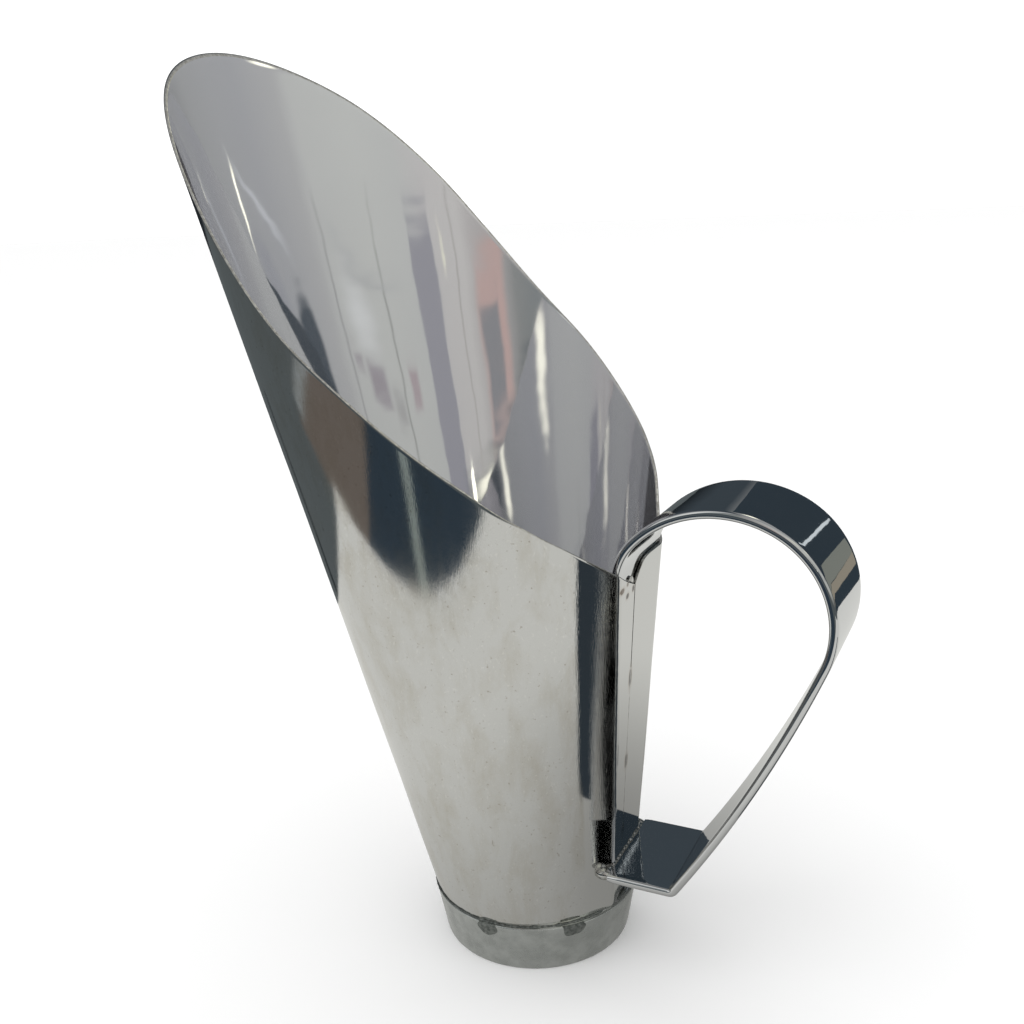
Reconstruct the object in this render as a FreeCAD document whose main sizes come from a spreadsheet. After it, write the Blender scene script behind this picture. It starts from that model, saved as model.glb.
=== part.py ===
import FreeCAD, Part
import math
import os
import Sketcher

# A sheet-metal water pitcher. Its body is one sheet rolled into a leaning cone and closed by a seam
# under the handle. The cone stands on a foot ring with a flat base disc, and the handle is one flat
# strap: its tail lies inside the mouth, it loops over the rim and folds into a shelf above the foot.
# Millimetres. The origin is the middle of the foot's underside, +Z is up and +X is the handle side.

driving_sizes = [
    ("handle_width", 40.0),
    ("handle_thick", 2.8),
    ("handle_edge_radius", 1.1),
    ("shelf_end", 35.75),
    ("shelf_level", 34.0),
    ("shelf_length", 21.1),
    ("fold_radius", 2.5),
    ("fold_sweep", 56.0),
    ("leg_radius", 477.0),
    ("leg_sweep", 11.5),
    ("side_radius", 32.0),
    ("side_sweep", 87.5),
    ("crown_radius", 37.1),
    ("crown_sweep", 71.6),
    ("lip_radius", 20.8),
    ("lip_sweep", 39.5),
    ("tail_length", 13.5),
    ("sheet_thick", 0.9),
    ("foot_height", 17.8),
    ("foot_bottom_radius", 33.6),
    ("foot_top_radius", 36.8),
    ("foot_wall", 1.2),
    ("base_thick", 1.2),
    ("body_low_radius", 35.7),
    ("body_low_shift", -0.9),
    ("body_high_level", 320.0),
    ("body_high_radius", 88.9),
    ("body_high_shift", -29.7),
    ("flat_low_reach", 35.3),
    ("flat_low_length", 20.0),
    ("flat_low_corner", 4.0),
    ("flat_high_reach", 83.95),
    ("flat_high_length", 62.4),
    ("flat_high_corner", 7.5),
    ("rim_turn", -8.4),
    ("rim_tip_reach", -135.0),
    ("rim_tip_level", 328.0),
    ("rim_crest_reach", -96.0),
    ("rim_crest_level", 291.5),
    ("rim_bend_reach", -53.0),
    ("rim_bend_level", 242.5),
    ("rim_dip_reach", -10.0),
    ("rim_dip_level", 201.8),
    ("rim_sag_radius", 340.0),
    ("shoulder_reach", 22.0),
    ("shoulder_level", 172.3),
    ("rim_far_reach", 80.0),
    ("rim_far_level", 118.8),
    ("notch_level", 135.3),
    ("notch_near_width", 52.8),
    ("notch_far_width", 48.2),
    ("notch_radius", 231.0),
    ("seat_level", 142.0),
    ("seat_start", 8.0),
    ("seat_end", 27.5),
    ("seat_rise_width", 38.0),
    ("seat_rise_level", 163.0),
    ("seam_gap", 0.6),
    ("seam_weld_top", 106.0),
    ("spot_weld_radius", 2.5),
    ("shelf_bead_radius", 3.2),
    ("shelf_bead_length", 38.0),
    ("solder_leg", 2.0),
    ("dab_radius", 5.0),
]

reach_past = 30.0  # how far a cutting shape runs beyond what it cuts

doc = FreeCAD.newDocument("WaterPitcher")
sheet = doc.addObject("Spreadsheet::Sheet", "sizes")
for row, (alias, value) in enumerate(driving_sizes, start=1):
    sheet.set(f"A{row}", alias)
    sheet.set(f"B{row}", str(value))
    sheet.setAlias(f"B{row}", alias)
doc.recompute()


def size(formula):
    """The value of a formula in the sheet's aliases, as a plain number."""
    return float(sheet.evalExpression(formula))


def linked(formula):
    """The same formula as seen from another object, with each alias looked up in the sheet."""
    words = []
    for word in formula.split():
        words.append(f"sizes.{word}" if word in aliases else word)
    return " ".join(words)


aliases = {alias for alias, value in driving_sizes}


def new_body(label):
    body = doc.addObject("PartDesign::Body", label)
    body.Label = label
    return body


def new_sketch(body, name, plane, lift=None):
    """A sketch flat on one of the body's own origin planes, lifted along its normal."""
    sketch = body.newObject("Sketcher::SketchObject", name)
    origin_plane = [f for f in body.Origin.OriginFeatures if f.Role == plane][0]
    sketch.AttachmentSupport = [(origin_plane, "")]
    sketch.MapMode = "FlatFace"
    if lift:
        sketch.setExpression(".AttachmentOffset.Base.z", linked(lift))
    return sketch


def hold(sketch, name, formula, *constraint):
    """Add a sketch dimension and bind it to the sheet."""
    value = size(formula)
    kind, *places = constraint
    if kind == "Angle":
        value = math.radians(value)
    index = sketch.addConstraint(Sketcher.Constraint(kind, *places, value))
    sketch.renameConstraint(index, name)
    unit = " * 1deg" if kind == "Angle" else ""
    sketch.setExpression(f"Constraints.{name}", f"({linked(formula)}){unit}")


def point(x, y):
    return FreeCAD.Vector(x, y, 0)


def straight(start, end):
    return Part.LineSegment(point(*start), point(*end))


def arc_between(start, end, radius):
    """The short arc that turns left from start to end."""
    chord = math.dist(start, end)
    rise = math.sqrt(radius ** 2 - (chord / 2) ** 2)
    along = ((end[0] - start[0]) / chord, (end[1] - start[1]) / chord)
    centre_x = (start[0] + end[0]) / 2 - along[1] * rise
    centre_y = (start[1] + end[1]) / 2 + along[0] * rise
    first = math.atan2(start[1] - centre_y, start[0] - centre_x)
    last = math.atan2(end[1] - centre_y, end[0] - centre_x)
    circle = Part.Circle(point(centre_x, centre_y), FreeCAD.Vector(0, 0, 1), radius)
    return Part.ArcOfCircle(circle, first, last)


def closed_outline(sketch, corners, radii):
    """Join the corners in order with lines, or with an arc where a corner's name has a radius.
    Each corner is (name, x formula, y formula), and its arc runs on to the next corner."""
    spots = [(size(x), size(y)) for name, x, y in corners]
    count = len(corners)
    for i, (name, x, y) in enumerate(corners):
        start, end = spots[i], spots[(i + 1) % count]
        if name in radii:
            sketch.addGeometry(arc_between(start, end, size(radii[name])))
        else:
            sketch.addGeometry(straight(start, end))
    for i, (name, x, y) in enumerate(corners):
        sketch.addConstraint(Sketcher.Constraint("Coincident", i - 1 if i else count - 1, 2, i, 1))
        hold(sketch, f"{name}_x", x, "DistanceX", -1, 1, i, 1)
        hold(sketch, f"{name}_y", y, "DistanceY", -1, 1, i, 1)
        if name in radii:
            hold(sketch, f"{name}_radius", radii[name], "Radius", i)


def pad(body, sketch, name, length, both_ways):
    feature = body.newObject("PartDesign::Pad", name)
    feature.Profile = sketch
    feature.SideType = "Symmetric" if both_ways else "One side"
    feature.setExpression("Length", linked(length))
    sketch.Visibility = False
    return feature


# --- body: one rolled sheet -------------------------------------------------------------------

def cone_section(body, name, level, shift, radius, reach, length, corner):
    """One level of the cone: a big round side, and a flat under the handle with rounded corners."""
    sketch = new_sketch(body, name, "XY_Plane", level)
    middle, big, far = size(shift), size(radius), size(reach)
    half, small = size(length) / 2, size(corner)
    # The shoulder between the two rounds touches both, so its direction follows from them.
    swing = math.hypot(far - small, half)
    turn = math.atan2(half, far - small) + math.acos((big - small) / swing)
    across, along = math.cos(turn), math.sin(turn)
    chord = [(middle + far, -half), (middle + far, half)]
    shoulder = [(middle + far - small + small * across, half + small * along),
                (middle + big * across, big * along)]
    lower = [(x, -y) for x, y in reversed(shoulder)]
    upward = FreeCAD.Vector(0, 0, 1)
    upper_round = Part.Circle(point(middle + far - small, half), upward, small)
    big_round = Part.Circle(point(middle, 0), upward, big)
    lower_round = Part.Circle(point(middle + far - small, -half), upward, small)
    sketch.addGeometry(straight(*chord))
    sketch.addGeometry(Part.ArcOfCircle(upper_round, 0, turn))
    sketch.addGeometry(straight(*shoulder))
    sketch.addGeometry(Part.ArcOfCircle(big_round, turn, 2 * math.pi - turn))
    sketch.addGeometry(straight(*lower))
    sketch.addGeometry(Part.ArcOfCircle(lower_round, -turn, 0))
    for i in range(6):
        sketch.addConstraint(Sketcher.Constraint("Tangent", i, 2, (i + 1) % 6, 1))
    sketch.addConstraint(Sketcher.Constraint("PointOnObject", 3, 3, -1))
    sketch.addConstraint(Sketcher.Constraint("Symmetric", 0, 1, 0, 2, -1))
    hold(sketch, "shift", shift, "DistanceX", -1, 1, 3, 3)
    hold(sketch, "big", radius, "Radius", 3)
    hold(sketch, "reach", f"{shift} + {reach}", "DistanceX", -1, 1, 0, 1)
    hold(sketch, "flat", length, "DistanceY", 0, 1, 0, 2)
    hold(sketch, "upper", corner, "Radius", 1)
    hold(sketch, "lower", corner, "Radius", 5)
    return sketch


def leaning_cone(label, inset):
    """A solid of the cone's outside, or of its inside when inset by the sheet's thickness."""
    body = new_body(label)
    low = cone_section(body, f"{label}_low", "foot_height", "body_low_shift",
                       f"body_low_radius{inset}", f"flat_low_reach{inset}",
                       "flat_low_length", f"flat_low_corner{inset}")
    high = cone_section(body, f"{label}_high", "body_high_level", "body_high_shift",
                        f"body_high_radius{inset}", f"flat_high_reach{inset}",
                        "flat_high_length", f"flat_high_corner{inset}")
    loft = body.newObject("PartDesign::AdditiveLoft", f"{label}_loft")
    loft.Profile = low
    loft.Sections = [high]
    loft.Ruled = True
    return body


def turned_with_rim(shape):
    """The rim and the seam are turned a little from the handle."""
    shape.Placement = FreeCAD.Placement(FreeCAD.Vector(), FreeCAD.Rotation(FreeCAD.Vector(0, 0, 1), 1))
    shape.setExpression(".Placement.Rotation.Angle", linked("rim_turn * 1deg"))


def rim_cutter():
    """What is cut away above the rim, seen from the side: a long slope with a slight sag."""
    body = new_body("rim_cutter")
    sketch = new_sketch(body, "rim_side_view", "XZ_Plane")
    closed_outline(sketch, [
        ("tip", "rim_tip_reach", "rim_tip_level"),
        ("crest", "rim_crest_reach", "rim_crest_level"),
        ("bend", "rim_bend_reach", "rim_bend_level"),
        ("dip", "rim_dip_reach", "rim_dip_level"),
        ("shoulder", "shoulder_reach", "shoulder_level"),
        ("far", "rim_far_reach", "rim_far_level"),
        ("far_top", "rim_far_reach", f"body_high_level + {reach_past}"),
        ("tip_top", "rim_tip_reach", f"body_high_level + {reach_past}"),
    ], {"bend": "rim_sag_radius"})
    pad(body, sketch, "rim_block", "body_high_radius * 3", both_ways=True)
    turned_with_rim(body)
    return body


def notch_cutter():
    """The rim dips to a corner at the seam. Past the seam it runs level, so the handle can lie on it."""
    body = new_body("notch_cutter")
    sketch = new_sketch(body, "notch_end_view", "YZ_Plane")
    closed_outline(sketch, [
        ("near", "notch_near_width * -1", "shoulder_level"),
        ("seam", "0", "notch_level"),
        ("seat_start", "seat_start", "seat_level"),
        ("seat_end", "seat_end", "seat_level"),
        ("rise", "seat_rise_width", "seat_rise_level"),
        ("far", "notch_far_width", "shoulder_level"),
        ("far_top", "notch_far_width", f"body_high_level + {reach_past}"),
        ("near_top", "notch_near_width * -1", f"body_high_level + {reach_past}"),
    ], {"near": "notch_radius"})
    pad(body, sketch, "notch_block", "body_high_radius + 30", both_ways=False)
    turned_with_rim(body)
    return body


def cut(label, base, tool):
    result = doc.addObject("Part::Cut", label)
    result.Base = base
    result.Tool = tool
    return result


def common(label, base, tool):
    result = doc.addObject("Part::Common", label)
    result.Base = base
    result.Tool = tool
    return result


def seam_box(label, low, high):
    """A thin upright block through the wall on the handle side, along the seam."""
    box = doc.addObject("Part::Box", label)
    box.setExpression("Length", linked("body_high_radius"))
    box.setExpression("Width", linked("seam_gap"))
    box.setExpression("Height", linked(f"{high} - {low}"))
    turn = FreeCAD.Rotation(FreeCAD.Vector(0, 0, 1), size("rim_turn"))
    box.Placement = FreeCAD.Placement(FreeCAD.Vector(), turn)
    box.setExpression(".Placement.Rotation.Angle", linked("rim_turn * 1deg"))
    box.setExpression(".Placement.Base.x", linked("seam_gap / 2 * sin( rim_turn * 1deg )"))
    box.setExpression(".Placement.Base.y", linked("seam_gap / -2 * cos( rim_turn * 1deg )"))
    box.setExpression(".Placement.Base.z", linked(low))
    return box


outside = leaning_cone("cone_outside", "")
inside = leaning_cone("cone_inside", " - sheet_thick")
wall = cut("wall", outside, inside)
wall_below_rim = cut("wall_below_rim", wall, rim_cutter())
wall_with_notch = cut("wall_with_notch", wall_below_rim, notch_cutter())
body_shell = cut("body_shell", wall_with_notch, seam_box("seam_slit", "foot_height", "shoulder_level"))
seam_weld = common("seam_weld", wall_with_notch, seam_box("seam_fill", "foot_height", "seam_weld_top"))


# --- foot ring and base disc ------------------------------------------------------------------

def foot():
    """A low conical band, wider at its top."""
    body = new_body("foot_ring")
    sketch = new_sketch(body, "band_section", "XZ_Plane")
    closed_outline(sketch, [
        ("inner_low", "foot_bottom_radius - foot_wall", "0"),
        ("outer_low", "foot_bottom_radius", "0"),
        ("outer_high", "foot_top_radius", "foot_height"),
        ("inner_high", "foot_top_radius - foot_wall", "foot_height"),
    ], {})
    turned = body.newObject("PartDesign::Revolution", "band")
    turned.Profile = sketch
    turned.ReferenceAxis = (sketch, ["V_Axis"])
    turned.Angle = 360
    return body


def frustum(label, low_radius, high_radius, low, height, shift="0"):
    cone = doc.addObject("Part::Cone", label)
    cone.setExpression("Radius1", linked(low_radius))
    cone.setExpression("Radius2", linked(high_radius))
    cone.setExpression("Height", linked(height))
    cone.setExpression(".Placement.Base.x", linked(shift))
    cone.setExpression(".Placement.Base.z", linked(low))
    return cone


foot_ring = foot()

# The disc closes the foot ring at its top, and its edge has the ring's slope.
ring_slope = "( foot_top_radius - foot_bottom_radius ) / foot_height"
base_disc = frustum("base_disc",
                    f"foot_top_radius - foot_wall - base_thick * {ring_slope}",
                    "foot_top_radius - foot_wall",
                    "foot_height - base_thick", "base_thick")


# --- handle: one bent strap -------------------------------------------------------------------

def handle():
    """A flat bar with rounded edges, swept along its own bent middle line."""
    body = new_body("handle_strap")
    path = new_sketch(body, "strap_middle_line", "XZ_Plane")
    spot = [size("shelf_end"), size("shelf_level")]
    heading = 0.0
    start = tuple(spot)
    spot[0] += size("shelf_length")
    path.addGeometry(straight(start, spot))
    bends = ["fold", "leg", "side", "crown", "lip"]
    for bend in bends:
        radius = size(f"{bend}_radius")
        after = heading + math.radians(size(f"{bend}_sweep"))
        centre = (spot[0] - radius * math.sin(heading), spot[1] + radius * math.cos(heading))
        circle = Part.Circle(point(*centre), FreeCAD.Vector(0, 0, 1), radius)
        path.addGeometry(Part.ArcOfCircle(circle, heading - math.pi / 2, after - math.pi / 2))
        spot = [centre[0] + radius * math.sin(after), centre[1] - radius * math.cos(after)]
        heading = after
    tail = size("tail_length")
    end = (spot[0] + tail * math.cos(heading), spot[1] + tail * math.sin(heading))
    path.addGeometry(straight(spot, end))

    path.addConstraint(Sketcher.Constraint("Horizontal", 0))
    hold(path, "shelf_start_x", "shelf_end", "DistanceX", -1, 1, 0, 1)
    hold(path, "shelf_start_y", "shelf_level", "DistanceY", -1, 1, 0, 1)
    hold(path, "shelf_run", "shelf_length", "DistanceX", 0, 1, 0, 2)
    for i, bend in enumerate(bends, start=1):
        path.addConstraint(Sketcher.Constraint("Tangent", i - 1, 2, i, 1))
        hold(path, f"{bend}_r", f"{bend}_radius", "Radius", i)
        hold(path, f"{bend}_a", f"{bend}_sweep", "Angle", i)
    path.addConstraint(Sketcher.Constraint("Tangent", len(bends), 2, len(bends) + 1, 1))
    hold(path, "tail_run", "tail_length", "Distance", len(bends) + 1)

    section = new_sketch(body, "strap_section", "YZ_Plane", "shelf_end")
    low = "shelf_level - handle_thick / 2"
    high = "shelf_level + handle_thick / 2"
    edge = "handle_edge_radius"
    closed_outline(section, [
        ("low_left", f"handle_width / -2 + {edge}", low),
        ("low_right", f"handle_width / 2 - {edge}", low),
        ("right_low", "handle_width / 2", f"{low} + {edge}"),
        ("right_high", "handle_width / 2", f"{high} - {edge}"),
        ("high_right", f"handle_width / 2 - {edge}", high),
        ("high_left", f"handle_width / -2 + {edge}", high),
        ("left_high", "handle_width / -2", f"{high} - {edge}"),
        ("left_low", "handle_width / -2", f"{low} + {edge}"),
    ], {"low_right": edge, "right_high": edge, "high_left": edge, "left_low": edge})
    sweep = body.newObject("PartDesign::AdditivePipe", "strap")
    sweep.Profile = section
    sweep.Spine = path
    return body


handle_strap = handle()


# --- welds and solder -------------------------------------------------------------------------

def rod(label, radius, length, start, direction):
    """A round bar from a start point, used as the raw shape of a weld."""
    bar = doc.addObject("Part::Cylinder", label)
    bar.setExpression("Radius", linked(radius))
    bar.setExpression("Height", linked(length))
    turn = FreeCAD.Rotation(FreeCAD.Vector(0, 0, 1), FreeCAD.Vector(*direction))
    bar.Placement = FreeCAD.Placement(FreeCAD.Vector(*start), turn)
    return bar


def joined(label, shapes):
    group = doc.addObject("Part::MultiFuse", label)
    group.Shapes = shapes
    return group


def spot_welds():
    """Four nuggets between the strap's tail and the wall, beside the seam."""
    places = [(-13.5, 131.0), (-9.0, 136.0), (-9.5, 126.5), (3.0, 132.0)]
    outermost = size("handle_thick") + size("sheet_thick") / 2
    nuggets = []
    for i, (sideways, level) in enumerate(places, start=1):
        wall_x = size("body_low_shift + flat_low_reach") + (level - size("foot_height")) * flat_lean
        start = (wall_x - size("sheet_thick") / 2 - outermost, sideways, level)
        bar = rod(f"nugget_{i}", "spot_weld_radius", "handle_thick + sheet_thick / 2", start, (1, 0, 0))
        bar.setExpression(".Placement.Base.x",
                          f"sizes.body_low_shift + sizes.flat_low_reach"
                          f" + ({level} - sizes.foot_height) * {flat_lean_formula}"
                          f" - sizes.handle_thick - sizes.sheet_thick")
        nuggets.append(bar)
    clear_of_strap = cut("nuggets_clear_of_strap", joined("nuggets", nuggets), handle_strap)
    return cut("strap_spot_welds", clear_of_strap, body_shell)


# The flat under the handle leans outward by this much for each millimetre of height.
flat_lean_formula = linked("( body_high_shift + flat_high_reach - body_low_shift - flat_low_reach )"
                           " / ( body_high_level - foot_height )")
flat_lean = size("( body_high_shift + flat_high_reach - body_low_shift - flat_low_reach )"
                 " / ( body_high_level - foot_height )")


def shelf_weld():
    """A bead that fills the corner between the shelf's square end and the round wall."""
    start = (size("shelf_end"), -size("shelf_bead_length") / 2, size("shelf_level"))
    bead = rod("shelf_bead", "shelf_bead_radius", "shelf_bead_length", start, (0, 1, 0))
    bead.setExpression(".Placement.Base.x", linked("shelf_end - shelf_bead_radius / 2"))
    bead.setExpression(".Placement.Base.y", linked("shelf_bead_length / -2"))
    bead.setExpression(".Placement.Base.z", linked("shelf_level"))
    clear_of_strap = cut("bead_clear_of_strap", bead, handle_strap)
    return cut("shelf_weld", clear_of_strap, outside)


def base_solder():
    """A fillet inside, all round the corner between the base disc and the wall."""
    corner = frustum("corner_block", "body_low_radius", "body_low_radius",
                     "foot_height", "solder_leg", "body_low_shift")
    hollow = frustum("corner_hollow", "body_low_radius - sheet_thick - solder_leg",
                     "body_low_radius - sheet_thick / 3", "foot_height", "solder_leg",
                     "body_low_shift")
    return common("base_solder", cut("corner_ring", corner, hollow), inside)


def foot_solder():
    """A thin run on the ledge behind the wall, and two dabs on the ring's front."""
    ledge = frustum("ledge_run", "foot_top_radius - foot_wall / 4", "foot_top_radius - foot_wall",
                    "foot_height", "solder_leg / 2")
    dabs = []
    for i, (around, level) in enumerate([(-93.0, 14.0), (-46.0, 15.5)], start=1):
        dab = doc.addObject("Part::Sphere", f"dab_{i}")
        dab.setExpression("Radius", linked("dab_radius"))
        turn = math.radians(around)
        out = f"( foot_bottom_radius + {level} * {ring_slope} - dab_radius + sheet_thick / 2 )"
        dab.setExpression(".Placement.Base.x", f"{linked(out)} * {math.cos(turn):.4f}")
        dab.setExpression(".Placement.Base.y", f"{linked(out)} * {math.sin(turn):.4f}")
        dab.Placement.Base.z = level
        dabs.append(dab)
    ring_solid = frustum("ring_solid", "foot_bottom_radius", "foot_top_radius", "0", "foot_height")
    raw = joined("foot_solder_raw", [ledge] + dabs)
    return cut("foot_solder", cut("solder_clear_of_ring", raw, ring_solid), outside)


strap_spot_welds = spot_welds()
shelf_weld_bead = shelf_weld()
base_solder_fillet = base_solder()
foot_solder_run = foot_solder()

pieces = [body_shell, seam_weld, foot_ring, base_disc, handle_strap,
          strap_spot_welds, shelf_weld_bead, base_solder_fillet, foot_solder_run]

doc.recompute()

for item in doc.Objects:
    if "Invalid" in item.State or "Error" in item.State:
        raise RuntimeError(f"{item.Name} did not build: {item.State}")
for piece in pieces:
    if piece.Shape.isNull() or not piece.Shape.isValid() or not piece.Shape.Solids:
        raise RuntimeError(f"{piece.Label} has no valid solid")

os.makedirs("parts", exist_ok=True)
for piece in pieces:
    piece.Shape.exportStep(f"parts/{piece.Label}.step")
    box = piece.Shape.BoundBox
    print(f"{piece.Label}: {len(piece.Shape.Solids)} solid(s), {piece.Shape.Volume:.0f} mm3,"
          f" x {box.XMin:.1f}..{box.XMax:.1f} y {box.YMin:.1f}..{box.YMax:.1f}"
          f" z {box.ZMin:.1f}..{box.ZMax:.1f}")
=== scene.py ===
import bpy
import math
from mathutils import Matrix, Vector, noise


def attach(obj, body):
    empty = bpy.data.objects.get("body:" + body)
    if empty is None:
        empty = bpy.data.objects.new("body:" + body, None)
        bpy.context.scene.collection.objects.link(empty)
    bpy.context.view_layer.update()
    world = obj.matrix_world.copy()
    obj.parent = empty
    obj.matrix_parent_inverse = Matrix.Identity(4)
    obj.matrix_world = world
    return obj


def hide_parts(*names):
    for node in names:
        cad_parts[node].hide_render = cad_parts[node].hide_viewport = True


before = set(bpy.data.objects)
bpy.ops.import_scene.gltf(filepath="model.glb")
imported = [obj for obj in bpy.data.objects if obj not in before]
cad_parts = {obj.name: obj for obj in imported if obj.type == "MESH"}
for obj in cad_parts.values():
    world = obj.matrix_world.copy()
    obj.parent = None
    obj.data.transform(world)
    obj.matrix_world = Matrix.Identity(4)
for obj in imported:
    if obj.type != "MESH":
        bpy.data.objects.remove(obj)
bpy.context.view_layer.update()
print("frame loaded")

mm = 0.001  # the drawing sizes below are in millimetres


def hexColour(text):
    # sRGB hex to the linear values that Blender's sockets take
    channels = [int(text[i:i + 2], 16) / 255 for i in (1, 3, 5)]
    return [c / 12.92 if c <= 0.04045 else ((c + 0.055) / 1.055) ** 2.4 for c in channels] + [1.0]


def addNode(tree, kind, settings=None, inputs=None, stops=None):
    node = tree.nodes.new(kind)
    for name, value in (settings or {}).items():
        setattr(node, name, value)
    for name, value in (inputs or {}).items():
        if isinstance(value, bpy.types.NodeSocket):
            tree.links.new(value, node.inputs[name])
        else:
            node.inputs[name].default_value = value
    if stops:
        ramp = node.color_ramp.elements
        while len(ramp) < len(stops):
            ramp.new(0.5)
        for element, (place, colour) in zip(ramp, stops):
            element.position = place
            element.color = colour if len(colour) == 4 else (*colour, 1)
    return node


def newMaterial(name):
    material = bpy.data.materials.new(name)
    material.use_nodes = True
    material.node_tree.nodes.clear()
    return material, material.node_tree


def makeObject(name, points, faces, materials, faceSlots=None, smooth=40):
    mesh = bpy.data.meshes.new(name)
    mesh.from_pydata([tuple(c * mm for c in p) for p in points], [], faces)
    for material in materials:
        mesh.materials.append(material)
    if faceSlots:
        mesh.polygons.foreach_set("material_index", faceSlots)
    mesh.validate()
    mesh.shade_smooth()
    mesh.set_sharp_from_angle(angle=math.radians(smooth))
    piece = bpy.data.objects.new(name, mesh)
    bpy.context.scene.collection.objects.link(piece)
    return piece


def throughPoints(points, x):
    # a smooth curve through the points, read at x
    xs = [p[0] for p in points]
    i = max(0, min(len(xs) - 2, sum(1 for value in xs[1:-1] if value <= x)))
    slopes = []
    for k in (i, i + 1):
        before, after = max(0, k - 1), min(len(points) - 1, k + 1)
        rise = points[after][1] - points[before][1]
        slopes.append(rise / (points[after][0] - points[before][0]))
    (x0, y0), (x1, y1) = points[i], points[i + 1]
    span = x1 - x0
    t = (x - x0) / span
    if t < 0 or t > 1:  # straight on past the ends
        return y0 + slopes[0] * (x - x0) if t < 0 else y1 + slopes[1] * (x - x1)
    return ((2 * t ** 3 - 3 * t ** 2 + 1) * y0 + (t ** 3 - 2 * t ** 2 + t) * span * slopes[0]
            + (3 * t ** 2 - 2 * t ** 3) * y1 + (t ** 3 - t ** 2) * span * slopes[1])


# Stainless steel sheet, cold rolled, then scuffed by years of wiping. That gives a soft mirror
# with upright streaks of haze, and a clean polished strip where the handle keeps cloths away.
scuffedSheet = {
    "steel": "#d6d6d4",
    "haze": "#c8c5bd",
    "stain": "#9a9184",
    "scratch": "#f0efea",
    "straw": "#a8937c",       # heat colour round a weld
    "grainPitch": 0.35,       # mm between the rolling lines, drawn coarser than the real 0.05
    "smudgeSize": 9.0,        # mm across a wipe mark, and more than twice as tall
    "speckSize": 1.25,        # mm
    "weldEdgeSize": 0.909,    # mm between the ragged bits at a weld's edge
    "mirrorRough": 0.05,
    "satinRough": 0.085,
    "mirrorHalfWidth": 18.3,  # mm at the table, and it widens upwards by mirrorSpread
    "mirrorSpread": 0.112,
    "stainAmount": 0.5,
    "scratchAmount": 0.28,
    "scratches": ((0.32, 1.9), (-0.55, 2.7), (1.5, 3.6)),  # lean in radians, mm apart
}

# across, level, half width, half height (mm) and colour of each weld's mark
weldMarks = [
    (-18.0, 136.4, 1.9, 1.0, "#6e6155"), (-13.0, 133.3, 1.3, 1.0, "#54524f"),
    (-7.9, 134.2, 1.0, 1.1, "#4b4a48"), (-13.4, 137.4, 0.9, 0.8, "#8b857d"),
    (-6.1, 102.3, 1.3, 3.6, "#5a5753"), (-5.7, 71.7, 1.3, 2.8, "#5f5b56"),
    (-5.2, 45.0, 0.9, 2.0, "#77736d"),
]


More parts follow.
